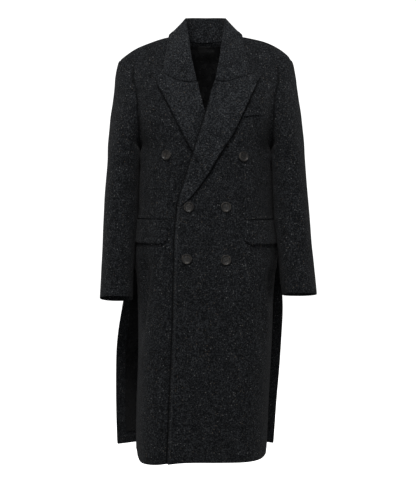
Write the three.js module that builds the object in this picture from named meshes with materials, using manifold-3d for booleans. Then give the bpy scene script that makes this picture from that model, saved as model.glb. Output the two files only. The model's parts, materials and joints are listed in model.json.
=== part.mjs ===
import * as THREE from "three";
import Module from "manifold-3d";
import { mergeVertices } from "three/examples/jsm/utils/BufferGeometryUtils.js";

const wasm = await Module();
wasm.setup();

// Sizes are in millimetres. +X is the wearer's left, -Y the front and +Z up.
// The origin lies between the high points of the shoulders; "down" counts from there.

// Cloth, gaps and layers
const WALL = 3;
const LINING_WALL = 1.3;
const TRIM_WALL = 2;
const AIR = 0.6;
const TRIM_AIR = 0.8;
const LOOSE = 2.6;
const SEAM = 0.3;

// Main levels
const PIT = 150;
const UNDERARM = 325;
const VENT_TOP = 613;
const HEM = 1163;
const CHEST_ROUND = 115;

// Detail of the walls
const YOKE_ROWS = 11;
const SIDE_ROWS = 5;
const SKIRT_ROWS = 10;
const FRONT_COLUMNS = 18;
const BACK_COLUMNS = 24;
const SLEEVE_ROWS = 15;

const LEFT = 1;
const RIGHT = -1;

// A table whose columns are named once, a row for each section.
function table(names, ...lines) {
  const heads = names.split(" ");
  return lines.map((line) => Object.fromEntries(heads.map((head, i) => [head, line[i]])));
}

// Round the armhole: from the shoulder corner down the front and up the back.
const ARMHOLE = table(
  "turn x y down",
  [0, 244, 5, 72],
  [0.05, 232, -9, 80],
  [0.12, 213, -25, 98],
  [0.21, 196, -48, 134],
  [0.3, 186, -68, 180],
  [0.38, 180, -72, 232],
  [0.45, 175, -48, 294],
  [0.5, 172, 8, 325],
  [0.55, 174, 58, 296],
  [0.62, 183, 88, 238],
  [0.7, 193, 92, 184],
  [0.79, 204, 76, 136],
  [0.88, 220, 46, 100],
  [0.95, 234, 20, 80],
  [1, 244, 5, 72],
);

// Shoulder seam, from the neck point to the sleeve head.
const SHOULDER = {
  [LEFT]: table("x down", [78, 1], [98, 2], [120, 7], [150, 13], [172, 20], [195, 31], [226, 52], [244, 72]),
  [RIGHT]: table("x down", [78, 1], [98, 3], [120, 8], [150, 18], [184, 31], [205, 42], [234, 65], [244, 72]),
};

// Neck seams, from the centre to the neck point.
const FRONT_NECK = table(
  "part x y down",
  [0, 0, -102, 150],
  [0.2, 24, -96, 131],
  [0.42, 48, -78, 96],
  [0.65, 66, -46, 50],
  [0.85, 76, -16, 14],
  [1, 78, 5, 1],
);
const BACK_NECK = table(
  "part x y down",
  [0, 0, 70, 14],
  [0.35, 34, 64, 12],
  [0.7, 64, 38, 6],
  [1, 78, 5, 1],
);
const NECK_SHARE = 0.37;

// Profile of the coat at its centre front and centre back.
const CENTRE = table(
  "down front back",
  [14, -60, 70],
  [60, -78, 96],
  [120, -94, 116],
  [180, -111, 125],
  [250, -125, 128],
  [325, -132, 126],
  [420, -134, 122],
  [500, -138, 126],
  [570, -146, 137],
  [640, -151, 148],
  [760, -153, 160],
  [900, -153, 166],
  [1160, -153, 172],
);

// Rows of the yoke: how far they run straight from the centre, and how they reach the armhole.
const YOKE = table(
  "level lead trail outX outY",
  [0, 70, 70, 0.95, 0.05],
  [0.25, 85, 62, 0.9, 0.4],
  [0.5, 100, 66, 0.78, 0.62],
  [0.75, 112, 72, 0.55, 0.82],
  [1, 120, 85, 0.05, 1],
);

// Sides of the front below the armhole: side seam or vent edge, corner radius, and lean.
const FRONT_SIDE = {
  [LEFT]: table(
    "down x y radius lean",
    [325, 172, 8, CHEST_ROUND, 0],
    [360, 180, 30, 108, 10],
    [400, 188, 50, 98, 20],
    [440, 190, 55, 90, 24],
    [490, 190, 56, 84, 24],
    [530, 192, 56, 82, 22],
    [570, 196, 57, 84, 21],
    [613, 200, 60, 90, 22],
    [650, 197, 57, 88, 20],
    [700, 190, 52, 82, 15],
    [840, 185, 51, 76, 13],
    [1000, 177, 52, 78, 15],
    [1160, 171, 54, 82, 16],
  ),
  [RIGHT]: table(
    "down x y radius lean",
    [325, 172, 8, CHEST_ROUND, 0],
    [360, 180, 30, 108, 10],
    [400, 188, 50, 98, 20],
    [440, 190, 55, 92, 24],
    [490, 190, 56, 90, 24],
    [530, 192, 56, 94, 22],
    [570, 196, 58, 102, 22],
    [613, 200, 60, 110, 21],
    [650, 196, 57, 106, 17],
    [700, 190, 53, 98, 14],
    [840, 187, 51, 76, 13],
    [1000, 191, 52, 76, 15],
    [1160, 194, 54, 82, 17],
  ),
};

// Edges of the back below the vent tops, where it swings out and hangs free.
const BACK_SIDE = {
  [LEFT]: table(
    "down x y",
    [613, 200, 60],
    [680, 212, 70],
    [760, 222, 85],
    [850, 218, 97],
    [940, 213, 104],
    [1040, 203, 110],
    [1163, 196, 116],
  ),
  [RIGHT]: table(
    "down x y",
    [613, 200, 60],
    [680, 218, 70],
    [760, 237, 79],
    [835, 251, 87],
    [900, 257, 93],
    [1060, 257, 98],
    [1163, 254, 102],
  ),
};

// Soft vertical folds of the free back skirt: place across, half width, depth at the hem.
const BACK_FOLDS = table(
  "across width depth",
  [-0.72, 0.16, 9],
  [-0.3, 0.15, -8],
  [0.12, 0.14, 7],
  [0.5, 0.16, -10],
  [0.84, 0.12, 7],
);

// Roll line of the lapel and then the front edge of the upper panel.
const FRONT_EDGE = table(
  "down x",
  [0, 51],
  [44, 42],
  [91, 33],
  [142, 22],
  [191, 10],
  [225, 0],
  [269, -17],
  [317, -29],
  [396, -54],
  [471, -76],
  [554, -83],
  [650, -85],
  [806, -88],
  [914, -93],
  [1021, -97],
  [1160, -102],
);

// Lapels seen from the front: the top edge from the roll to the peak, then the outer edge.
const LAPEL_TOP = {
  [LEFT]: table(
    "part x down",
    [0, 25, 131],
    [0.25, 52, 138],
    [0.5, 82, 130],
    [0.75, 124, 116],
    [1, 154, 121],
  ),
  [RIGHT]: table(
    "part x down",
    [0, 25, 131],
    [0.25, 50, 137],
    [0.5, 80, 128],
    [0.78, 117, 111],
    [1, 141, 105],
  ),
};
const LAPEL_OUTER = {
  [LEFT]: table(
    "part x down",
    [0, 154, 121],
    [0.06, 141, 136],
    [0.14, 130, 165],
    [0.28, 107, 213],
    [0.45, 74, 281],
    [0.6, 38, 335],
    [0.75, 6, 390],
    [0.88, -23, 430],
    [0.95, -46, 458],
    [1, -68, 475],
  ),
  [RIGHT]: table(
    "part x down",
    [0, 141, 105],
    [0.06, 135, 126],
    [0.14, 126, 154],
    [0.28, 98, 203],
    [0.45, 60, 280],
    [0.6, 30, 336],
    [0.75, 0, 390],
    [0.88, -28, 430],
    [0.95, -46, 458],
    [1, -66, 475],
  ),
};
const NOTCH = { [LEFT]: 0.74, [RIGHT]: 0.76 };
const LAPEL_END = 470;
const LAPEL_ROWS = 18;
const LAPEL_COLUMNS = 9;
const ROLL_LOFT = 3;
const ROLL_WIDTH = 14;
const LAPEL_LIFT = 3;

// Collar: fold line and outer edge, from the centre back round to the notch.
const COLLAR = table(
  "part seam foldX foldY foldDown edgeX edgeY edgeDown belly",
  [0, 0, 0, 64, -58, 0, 84, 20, 4],
  [0.16, 0.3, 22, 61, -58, 30, 82, 20, 4],
  [0.32, 0.6, 42, 48, -56, 64, 68, 16, 3],
  [0.46, 0.86, 52, 30, -53, 90, 38, 8, 1],
  [0.58, 1, 55, 8, -48, 100, 2, -4, 0],
  [0.7, 1.15, 52, -20, -18, 104, -28, 22, 2],
  [0.8, 1.35, 46, -50, 20, 110, -44, 50, 4],
  [0.9, 1.55, 37, -78, 74, 117, -60, 80, 3],
  [0.95, 1.68, 31, -94, 102, 118, -68, 96, 3],
  [1, 1.8, 26, -102, 128, 118, -80, 112, 0],
);
const COLLAR_STATIONS = 30;
const COLLAR_FALL_ROWS = 6;
const STAND_ROWS = 3;
const STAND_ENDS = 0.86;
const STAND_WALL = 2.2;

// Sleeves below the armhole: outline from the front and from the side.
const SLEEVE = {
  [LEFT]: table(
    "down outer inner front back",
    [350, 275, 188, -80, 80],
    [420, 281, 191, -82, 72],
    [490, 286, 193, -86, 60],
    [560, 291, 198, -91, 47],
    [640, 298, 205, -97, 33],
    [720, 306, 214, -103, 15],
  ),
  [RIGHT]: table(
    "down outer inner front back",
    [350, 271, 188, -80, 80],
    [420, 277, 191, -82, 72],
    [490, 281, 193, -86, 60],
    [560, 283, 197, -91, 47],
    [640, 286, 201, -97, 33],
    [731, 290, 203, -103, 15],
  ),
};
const CUFF_TILT = { [LEFT]: 9, [RIGHT]: 12 };
const SLEEVE_START = 350;
const SLEEVE_SQUARE = 2.3;
const HEAD_GAP = 0.008;

// How the sleeve leaves the armhole, round its turn.
const SLEEVE_HEAD = table(
  "turn x y z reach",
  [0, 0.15, 0, -0.99, 190],
  [0.12, 0.38, -0.42, -0.82, 150],
  [0.25, 0.44, -0.54, -0.72, 120],
  [0.38, 0.8, -0.45, -0.4, 80],
  [0.45, 1, -0.3, 0.1, 80],
  [0.5, 1, 0, 0, 60],
  [0.55, 1, 0.3, 0.25, 95],
  [0.62, 0.8, 0.45, -0.4, 80],
  [0.75, 0.44, 0.54, -0.72, 120],
  [0.88, 0.38, 0.42, -0.82, 150],
  [1, 0.15, 0, -0.99, 190],
);

// Back lining: it stops above the hem turn-up and inside the vent facings
const LINING_COLUMNS = 20;
const HEM_TURN = 35;
const VENT_FACING = 28;
const SIDE_MARGIN = 8;

// Pockets
const FLAP_TOP = { [LEFT]: 514, [RIGHT]: 512 };
const FLAP_LIFT = 1.2;
const FLAP_HEIGHT = 64;
const FLAP_WIDTH = 150;
const FLAP_START = 102;
const FLAP_CORNER = 13;
const JET_HEIGHT = 8;
const JET_ABOVE = 3;
const JET_WALL = 1.4;
const WELT = { far: 152, down: 228, height: 24, tilt: -0.09 };

// Buttons: places seen from the front
const BUTTON_RADIUS = 14;
const BUTTON_DEEP = 4;
const BUTTON_SIDES = 18;
const HOLE_PLACE = 2.4;
const HOLE_RADIUS = 1.1;

const BUTTONS = table(
  "name x down under lift",
  ["button_top_right", -107, 336, 1, 1.4],
  ["button_top_left", 101, 341, 0, 0.6],
  ["button_middle_right", -45, 477, 0, 0.6],
  ["button_middle_left", 55, 477, 0, 0.6],
  ["button_low_right", -50, 616, 0, 0.6],
  ["button_low_left", 55, 619, 0, 0.6],
);

// How deep the under panel lies below the upper one, by the chest and in the skirt
const UNDER_CHEST = 8;
const UNDER_SKIRT = 6;
const UNDER_SAG = 11;

const cloth = new THREE.MeshStandardMaterial({ color: 0x232427, roughness: 0.95 });
const liningCloth = new THREE.MeshStandardMaterial({ color: 0x0f0f11, roughness: 0.5 });
const horn = new THREE.MeshStandardMaterial({ color: 0x1c1815, roughness: 0.35 });

const coat = new THREE.Group();
coat.name = "chesterfield_coat";

const point = (x, y, z) => new THREE.Vector3(x, y, z);
const mix = (a, b, share) => a + (b - a) * share;
const clamp = (value) => Math.min(1, Math.max(0, value));

function smooth(low, high, value) {
  const share = clamp((value - low) / (high - low));
  return share * share * (3 - 2 * share);
}

// Smooth value of a named column where the key column reaches a place.
function read(rows, key, name, place) {
  const last = rows.length - 1;
  if (place <= rows[0][key]) return rows[0][name];
  if (place >= rows[last][key]) return rows[last][name];
  let i = 0;
  while (rows[i + 1][key] < place) i += 1;
  const width = rows[i + 1][key] - rows[i][key];
  const slope = (k) => {
    const before = rows[Math.max(k - 1, 0)];
    const after = rows[Math.min(k + 1, last)];
    return (after[name] - before[name]) / (after[key] - before[key]);
  };
  const t = (place - rows[i][key]) / width;
  const start = rows[i][name];
  const end = rows[i + 1][name];
  const rise = t * t * (3 - 2 * t);
  const leave = slope(i) * width * t * (1 - t) * (1 - t);
  const reach = slope(i + 1) * width * t * t * (1 - t);
  return mix(start, end, rise) + leave - reach;
}

function bezier(a, b, c, d, t) {
  const s = 1 - t;
  const out = a.clone().multiplyScalar(s * s * s);
  out.addScaledVector(b, 3 * s * s * t);
  out.addScaledVector(c, 3 * s * t * t);
  return out.addScaledVector(d, t * t * t);
}

function armhole(side, turn) {
  const x = side * read(ARMHOLE, "turn", "x", turn);
  const y = read(ARMHOLE, "turn", "y", turn);
  return point(x, y, -read(ARMHOLE, "turn", "down", turn));
}

// Top edge of a panel: the neck seam, then the shoulder seam.
function topEdge(neck, side, u) {
  if (u < 0) return topEdge(neck, side, -u).multiply(point(-1, 1, 1));
  if (u < NECK_SHARE) {
    const part = u / NECK_SHARE;
    const x = side * read(neck, "part", "x", part);
    const y = read(neck, "part", "y", part);
    return point(x, y, -read(neck, "part", "down", part));
  }
  const seam = SHOULDER[side];
  const x = mix(seam[0].x, seam.at(-1).x, (u - NECK_SHARE) / (1 - NECK_SHARE));
  return point(side * x, 5, -read(seam, "x", "down", x));
}

// A row that runs flat, turns a corner of a given radius and then runs along the side.
function boxRow(from, to, radius, u) {
  const wide = Math.abs(to.x);
  const deep = Math.abs(to.y - from.y);
  const round = Math.min(radius, wide * 0.95);
  const bend = deep < round ? Math.acos(1 - deep / round) : Math.PI / 2;
  const flat = wide - round * Math.sin(bend);
  const arc = bend * round;
  const total = flat + arc + Math.max(0, deep - round);
  const way = u * total;
  let x = Math.min(way, wide);
  let y = 0;
  if (way > flat && way <= flat + arc) {
    const angle = (way - flat) / round;
    x = flat + round * Math.sin(angle);
    y = round * (1 - Math.cos(angle));
  }
  if (way > flat + arc) {
    x = wide;
    y = round + way - flat - arc;
  }
  const out = point(Math.sign(to.x) * x, from.y + Math.sign(to.y - from.y) * y, 0);
  out.z = mix(from.z, to.z, u);
  return out;
}

// A row that leaves the centre flat and reaches the edge in a given direction.
function softRow(from, to, lead, trail, outX, outY, u) {
  const side = Math.sign(to.x);
  const near = from.clone().add(point(side * lead, 0, 0));
  const back = Math.sign(to.y - from.y);
  const far = to.clone().sub(point(side * outX, back * outY, 0).multiplyScalar(trail));
  near.z = mix(from.z, to.z, 0.15);
  far.z = mix(from.z, to.z, 0.7);
  return bezier(from, near, far, to, u);
}

function yokeRow(from, to, level, u) {
  const value = (name) => read(YOKE, "level", name, level);
  return softRow(from, to, value("lead"), value("trail"), value("outX"), value("outY"), u);
}

// The yoke starts at the neck and shoulder seams and settles into its own rows.
function withTop(row, neck, side, level, u, first) {
  const left = 1 - clamp(level / 0.85);
  const spread = 0.2 * smooth(0, 0.28, level) * clamp((1 - u) / 0.35);
  const top = topEdge(neck, side, u).multiplyScalar(2);
  top.add(topEdge(neck, side, u - spread)).add(topEdge(neck, side, u + spread));
  top.divideScalar(4).sub(first);
  return row.addScaledVector(top, left * left);
}

// Inner face of the front. u runs from the centre, 1 at the wearer's left edge and -1 at the right.
function front(u, level) {
  const side = u < 0 ? RIGHT : LEFT;
  const s = Math.abs(u);
  const down = level < 1 ? mix(PIT, UNDERARM, level) : mix(UNDERARM, HEM, level - 1);
  const centre = point(0, read(CENTRE, "down", "front", down), -down);
  let row;
  if (level < 1) {
    const edge = armhole(side, level / 2);
    const start = point(0, read(CENTRE, "down", "front", PIT), -PIT);
    start.y = FRONT_NECK[0].y;
    centre.y = mix(start.y, centre.y, clamp(level * 4));
    row = yokeRow(centre, edge, level, s);
    const first = yokeRow(start, armhole(side, 0), 0, s);
    row = withTop(row, FRONT_NECK, side, level, s, first);
    if (level > 0.3) {
      row.lerp(boxRow(centre, edge, CHEST_ROUND, s), smooth(0.3, 0.95, level) * 0.85);
    }
    return row;
  }
  const value = (name) => read(FRONT_SIDE[side], "down", name, down);
  const edge = point(side * value("x"), value("y"), -down);
  row = boxRow(centre, edge, value("radius"), s);
  const early = yokeRow(centre, edge, 1, s);
  row.lerp(early, 0.15 * (1 - smooth(UNDERARM, UNDERARM + 90, down)));
  const crown = 7 * Math.pow(Math.min(1, Math.abs(row.x) / 150), 2);
  row.y += crown * smooth(UNDERARM, UNDERARM + 120, down) * (1 - smooth(0.8, 1, s));
  const ahead = (edge.y - row.y) / (edge.y - centre.y);
  row.x -= side * value("lean") * smooth(0, 0.9, ahead) * Math.pow(row.x / edge.x, 2);
  if (side === RIGHT) {
    row.z -= UNDER_SAG * Math.pow(level - 1, 4) * smooth(0.1, 0.5, s) * (1 - smooth(0.55, 1, s));
  }
  return row;
}

// Inner face of the back, across from the wearer's right edge at -1 to the left at 1.
function back(u, level) {
  const side = u < 0 ? RIGHT : LEFT;
  const s = Math.abs(u);
  const start = BACK_NECK[0].down;
  const down = level < 1 ? mix(start, UNDERARM, level) : mix(UNDERARM, HEM, level - 1);
  const centre = point(0, read(CENTRE, "down", "back", down), -down);
  if (level < 1) {
    const edge = armhole(side, 1 - level / 2);
    const neck = point(0, BACK_NECK[0].y, -start);
    let row = yokeRow(centre, edge, level, s);
    const first = yokeRow(neck, armhole(side, 0), 0, s);
    row = withTop(row, BACK_NECK, side, level, s, first);
    if (level > 0.3) {
      row.lerp(boxRow(centre, edge, CHEST_ROUND, s), smooth(0.3, 0.95, level) * 0.85);
    }
    return row;
  }
  const rows = down <= VENT_TOP ? FRONT_SIDE[side] : BACK_SIDE[side];
  const value = (name) => read(rows, "down", name, down);
  const edge = point(side * value("x"), value("y"), -down);
  const row = boxRow(centre, edge, mix(CHEST_ROUND, 70, smooth(UNDERARM, VENT_TOP, down)), s);
  const early = yokeRow(centre, edge, 1, s);
  row.lerp(early, 0.15 * (1 - smooth(UNDERARM, UNDERARM + 90, down)));
  const hung = softRow(centre, edge, edge.x * side * 0.45, 90, 0.86, 0.5, s);
  row.lerp(hung, smooth(VENT_TOP, VENT_TOP + 190, down));
  row.y += backFolds(u) * Math.pow(smooth(VENT_TOP - 60, HEM, down), 1.2);
  return row;
}

function backFolds(u) {
  let sum = 0;
  for (const fold of BACK_FOLDS) {
    const away = (u - fold.across) / fold.width;
    sum += fold.depth * Math.exp(-away * away);
  }
  return sum;
}

// Outward normal of a skin, from its own slopes.
function normalOf(skin, turned, u, level, low, high) {
  const step = 2e-3;
  const left = skin(Math.max(u - step, low), level);
  const right = skin(Math.min(u + step, high), level);
  const above = skin(u, Math.max(level - step, 0));
  const below = skin(u, Math.min(level + step, 2));
  const across = right.sub(left);
  const downward = below.sub(above);
  return across.cross(downward).multiplyScalar(turned).normalize();
}

const frontNormal = (u, level) => normalOf(front, -1, u, level, -1, 1);
const backNormal = (u, level) => normalOf(back, 1, u, level, -1, 1);

function ring(side, turn, down) {
  const value = (name) => read(SLEEVE[side], "down", name, down);
  const angle = turn * Math.PI * 2;
  const power = (v) => Math.sign(v) * Math.pow(Math.abs(v), 2 / SLEEVE_SQUARE);
  const wide = (value("outer") - value("inner")) / 2;
  const deep = (value("back") - value("front")) / 2;
  const x = value("inner") + wide + wide * power(Math.cos(angle));
  const y = value("front") + deep - deep * power(Math.sin(angle));
  const end = SLEEVE[side].at(-1).down;
  const tilt = CUFF_TILT[side] * ((y - value("front") - deep) / deep);
  const lower = tilt * smooth(SLEEVE_START, end, down);
  return point(side * x, y, -down - lower);
}

// Inner face of a sleeve: level 0 to 1 is the head, 1 to 2 the tube down to the cuff.
function sleeve(side, turn, level) {
  const round = turn - Math.floor(turn);
  const end = SLEEVE[side].at(-1).down;
  if (level >= 1) return ring(side, round, mix(SLEEVE_START, end, level - 1));
  const value = (name) => read(SLEEVE_HEAD, "turn", name, round);
  const start = armhole(side, round);
  const finish = ring(side, round, SLEEVE_START);
  const reach = value("reach") / 3;
  const leave = point(side * value("x"), value("y"), value("z")).normalize();
  const first = start.clone().addScaledVector(leave, reach * 1.2);
  const second = finish.clone().add(point(0, 0, reach));
  return bezier(start, first, second, finish, level);
}

function sleeveNormal(side, turn, level) {
  const step = 2e-3;
  const across = sleeve(side, turn + step, level).sub(sleeve(side, turn - step, level));
  const above = sleeve(side, turn, Math.max(level - step, 0));
  const downward = sleeve(side, turn, Math.min(level + step, 2)).sub(above);
  return across.cross(downward).multiplyScalar(side).normalize();
}

// Where two pieces meet, both walls lean the same way.
function armholeNormal(side, turn) {
  const panel = turn < 0.5 ? frontNormal(side * 0.999, turn * 2) : backNormal(side * 0.999, 2 - turn * 2);
  const near = turn === 0 || turn === 1 ? point(side * 0.5, 0, 0.85).normalize() : panel;
  return near.add(sleeveNormal(side, turn, 0.01)).normalize();
}

function sideNormal(side, level) {
  const first = frontNormal(side * 0.999, level);
  return first.add(backNormal(side * 0.999, level)).normalize();
}

function addMesh(name, points, faces, material) {
  const flat = new Float32Array(points.length * 3);
  points.forEach((p, i) => p.toArray(flat, i * 3));
  let volume = 0;
  for (const [a, b, c] of faces) {
    volume += points[a].dot(points[b].clone().cross(points[c]));
  }
  const order = volume < 0 ? faces.map(([a, b, c]) => [a, c, b]) : faces;
  const geometry = new THREE.BufferGeometry();
  geometry.setAttribute("position", new THREE.BufferAttribute(flat, 3));
  geometry.setIndex(order.flat());
  geometry.computeVertexNormals();
  const mesh = new THREE.Mesh(geometry, material);
  mesh.name = name;
  coat.add(mesh);
  return mesh;
}

// A closed wall between an inner and an outer grid of points.
function wall(name, columns, rows, inner, outer, material, round = false) {
  const points = [];
  const faces = [];
  const across = round ? columns : columns + 1;
  for (const face of [inner, outer]) {
    for (let j = 0; j <= rows; j += 1) {
      for (let i = 0; i < across; i += 1) points.push(face(i, j));
    }
  }
  const layer = across * (rows + 1);
  const at = (face, i, j) => face * layer + j * across + (i % across);
  const quad = (a, b, c, d) => faces.push([a, b, c], [a, c, d]);
  for (let j = 0; j < rows; j += 1) {
    for (let i = 0; i < columns; i += 1) {
      quad(at(0, i, j), at(0, i, j + 1), at(0, i + 1, j + 1), at(0, i + 1, j));
      quad(at(1, i, j), at(1, i + 1, j), at(1, i + 1, j + 1), at(1, i, j + 1));
    }
    if (!round) {
      quad(at(0, 0, j), at(1, 0, j), at(1, 0, j + 1), at(0, 0, j + 1));
      quad(at(0, columns, j), at(0, columns, j + 1), at(1, columns, j + 1), at(1, columns, j));
    }
  }
  for (let i = 0; i < columns; i += 1) {
    quad(at(0, i, 0), at(0, i + 1, 0), at(1, i + 1, 0), at(1, i, 0));
    quad(at(0, i, rows), at(1, i, rows), at(1, i + 1, rows), at(0, i + 1, rows));
  }
  return addMesh(name, points, faces, material);
}

// Levels of the rows: the yoke rows share their places with the sleeve's own points.
function levelOf(row) {
  if (row <= YOKE_ROWS) return row / YOKE_ROWS;
  const vent = (VENT_TOP - UNDERARM) / (HEM - UNDERARM);
  const below = row - YOKE_ROWS;
  if (below <= SIDE_ROWS) return 1 + (vent * below) / SIDE_ROWS;
  return 1 + mix(vent, 1, (below - SIDE_ROWS) / SKIRT_ROWS);
}

// The across value where a row of the front meets its edge line.
function edgeOf(level, side) {
  const miss = (u) => {
    const p = front(u * side, level);
    return side * p.x - read(FRONT_EDGE, "down", "x", -p.z);
  };
  let low = -0.7;
  let high = 0.9;
  for (let i = 0; i < 40; i += 1) {
    const middle = (low + high) / 2;
    if (miss(middle) > 0) high = middle;
    else low = middle;
  }
  return (low + high) / 2;
}

// The under panel sinks below the upper one where they overlap.
function sink(side, p) {
  if (side === LEFT) return 0;
  const depth = mix(UNDER_CHEST, UNDER_SKIRT, smooth(490, 580, -p.z));
  return -depth * smooth(-165, -92, p.x) * smooth(0, 110, -p.z);
}

function seamLift(skin, normal, side, u, level, height) {
  const edge = Math.abs(u) > 0.995;
  const p = skin(u, level);
  if (edge && level <= 1) {
    const turn = skin === front ? level / 2 : 1 - level / 2;
    return p.addScaledVector(armholeNormal(side, turn), height);
  }
  if (edge && p.z > -VENT_TOP) {
    return p.addScaledVector(sideNormal(side, level), height);
  }
  const n = normal(u, level);
  if (level < 0.01 && Math.abs(u) > NECK_SHARE) n.setY(0).normalize();
  return p.addScaledVector(n, height);
}

// Share of a row that a seam gap takes.
const rowGap = (u, level, skin) => {
  const step = 0.01;
  const length = skin(u, level).distanceTo(skin(u - Math.sign(u) * step, level)) / step;
  return SEAM / length;
};

function frontPanel(name, side) {
  const rows = YOKE_ROWS + SIDE_ROWS + SKIRT_ROWS;
  const place = (i, j) => {
    const level = Math.max(levelOf(j), 0.002);
    const start = edgeOf(level, side);
    const end = 1 - rowGap(side, level, front);
    return [side * mix(start, end, i / FRONT_COLUMNS), level];
  };
  const face = (height) => (i, j) => {
    const [u, level] = place(i, j);
    const p = seamLift(front, frontNormal, side, u, level, height);
    const low = sink(side, p);
    return low === 0 ? p : p.addScaledVector(frontNormal(u, level), low);
  };
  wall(name, FRONT_COLUMNS, rows, face(0), face(WALL), cloth);
}

function backPanel() {
  const rows = YOKE_ROWS + SIDE_ROWS + SKIRT_ROWS;
  const face = (height) => (i, j) => {
    const level = Math.max(levelOf(j), 0.002);
    const share = (i / BACK_COLUMNS) * 2 - 1;
    const end = 1 - rowGap(Math.sign(share) || 1, level, back);
    const side = share < 0 ? RIGHT : LEFT;
    return seamLift(back, backNormal, side, share * end, level, height);
  };
  wall("back", BACK_COLUMNS, rows, face(0), face(WALL), cloth);
}

function sleevePiece(name, side) {
  const around = YOKE_ROWS * 2;
  const rows = SLEEVE_ROWS;
  const level = (j) => (j <= 6 ? mix(HEAD_GAP, 1, j / 6) : 1 + (j - 6) / (rows - 6));
  const face = (height) => (i, j) => {
    const turn = i / around;
    const at = level(j);
    const n = j === 0 ? armholeNormal(side, turn) : sleeveNormal(side, turn, at);
    return sleeve(side, turn, at).addScaledVector(n, height);
  };
  wall(name, around, rows, face(0), face(WALL), cloth, true);
}

// Finds the across and level values of the front where it shows a given place.
function onFront(x, z) {
  const step = 1e-3;
  const yoke = clamp((-z - PIT) / (UNDERARM - PIT));
  let a = x / 240;
  let b = yoke + Math.max(0, (-z - UNDERARM) / (HEM - UNDERARM));
  for (let i = 0; i < 30; i += 1) {
    const p = front(a, b);
    const across = front(a + step, b).sub(p).divideScalar(step);
    const downward = front(a, b + step).sub(p).divideScalar(step);
    const [dx, dz] = [x - p.x, z - p.z];
    const size = across.x * downward.z - downward.x * across.z;
    const da = (dx * downward.z - downward.x * dz) / size;
    const db = (across.x * dz - dx * across.z) / size;
    a = Math.min(0.99, Math.max(-0.99, a + Math.max(-0.1, Math.min(0.1, da))));
    b = Math.min(1.999, Math.max(0.003, b + Math.max(-0.1, Math.min(0.1, db))));
  }
  const found = front(a, b);
  return [a, b, Math.hypot(found.x - x, found.z - z)];
}

// A point that lies a given height above the front where it shows x and z.
function laid(side, x, z, height) {
  const [u, level] = onFront(x, z);
  const p = front(u, level);
  return p.clone().addScaledVector(frontNormal(u, level), height + sink(side, p));
}

function lapel(name, side) {
  const value = (rows, column, part) => read(rows, "part", column, part);
  const place = (i, j) => {
    const c = i / LAPEL_COLUMNS;
    const t = j / LAPEL_ROWS;
    const down = mix(LAPEL_TOP[side][0].down, LAPEL_END, t);
    const roll = read(FRONT_EDGE, "down", "x", down) - 1.5;
    const outX = value(LAPEL_OUTER[side], "x", t);
    const outDown = value(LAPEL_OUTER[side], "down", t);
    const top = [value(LAPEL_TOP[side], "x", c), value(LAPEL_TOP[side], "down", c)];
    const high = LAPEL_TOP[side][0];
    const peak = LAPEL_TOP[side].at(-1);
    const share = Math.pow(1 - t, 3);
    const x = mix(roll, outX, c) + share * (top[0] - mix(high.x, peak.x, c));
    const z = mix(down, outDown, c) + share * (top[1] - mix(high.down, peak.down, c));
    return [side * x, -z, c * Math.hypot(outX - roll, outDown - down)];
  };
  const face = (height) => (i, j) => {
    const [x, z, away] = place(i, j);
    const roll = ROLL_LOFT * Math.exp(-Math.pow(away / ROLL_WIDTH, 2));
    const free = 1 - smooth(0.7, 0.95, j / LAPEL_ROWS);
    const shown = side === LEFT ? 1 : 1 - smooth(195, 222, -z);
    const lift = LAPEL_LIFT * smooth(0.3, 1, i / LAPEL_COLUMNS) * free * shown;
    return laid(side, x, z, height > WALL + AIR ? height + roll * shown + lift : height + lift);
  };
  wall(name, LAPEL_COLUMNS, LAPEL_ROWS, face(WALL + AIR), face(WALL * 2 + AIR), cloth);
}

// Collar line values: 0 is the centre back, 1 the notch.
function collarLine(side, part) {
  const value = (name) => read(COLLAR, "part", name, part);
  const fold = point(side * value("foldX"), value("foldY"), -value("foldDown"));
  const edge = point(side * value("edgeX"), value("edgeY"), -value("edgeDown"));
  fold.y -= sink(side, fold) * smooth(0.62, 0.8, part);
  if (part > 0.62) edge.lerp(laid(side, edge.x, edge.z, WALL + AIR), smooth(0.62, 0.7, part));
  return { fold, edge, seam: value("seam"), belly: value("belly") };
}

// How far the fall must belly out to pass clear of the chest.
function clearBelly(side, fold, edge, least) {
  let need = least;
  for (const c of [0.12, 0.2, 0.3, 0.45, 0.6, 0.8]) {
    const p = fold.clone().lerp(edge, c);
    const [u, level, miss] = onFront(p.x, p.z);
    if (miss > 1) continue;
    const skin = front(u, level);
    const height = p.clone().sub(skin).dot(frontNormal(u, level)) - sink(side, skin);
    need = Math.max(need, (WALL + 1.6 - height) / (4 * c * (1 - c)));
  }
  return need;
}

// The fall runs from the fold to the outer edge and never sinks into the panels below it.
function fallPoint(side, part, c, height) {
  const { fold, edge, belly } = collarLine(side, part);
  const p = fold.clone().lerp(edge, c);
  const out = point(p.x, p.y - 25, 0).normalize();
  const chest = smooth(0.6, 0.8, part);
  out.lerp(point(side * 0.25, -0.85, 0.45), chest).setZ(mix(0.6, 0.45, chest)).normalize();
  const bow = chest > 0 ? mix(belly, clearBelly(side, fold, edge, belly), chest) : belly;
  p.addScaledVector(out, bow * 4 * c * (1 - c) + height);
  const gorge = smooth(0.86, 1, part);
  if (gorge === 0) return p;
  const line = read(LAPEL_TOP[side], "part", "down", c * NOTCH[side]) - 2.2;
  const across = read(LAPEL_TOP[side], "part", "x", c * NOTCH[side]);
  return p.lerp(laid(side, side * across, -line, WALL + AIR + height), gorge);
}

function collarFall() {
  const face = (height) => (i, j) => {
    const share = (i / COLLAR_STATIONS) * 2 - 1;
    const side = share < 0 ? RIGHT : LEFT;
    return fallPoint(side, Math.abs(share), j / COLLAR_FALL_ROWS, height);
  };
  wall("collar", COLLAR_STATIONS, COLLAR_FALL_ROWS, face(0), face(WALL), cloth);
}

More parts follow.
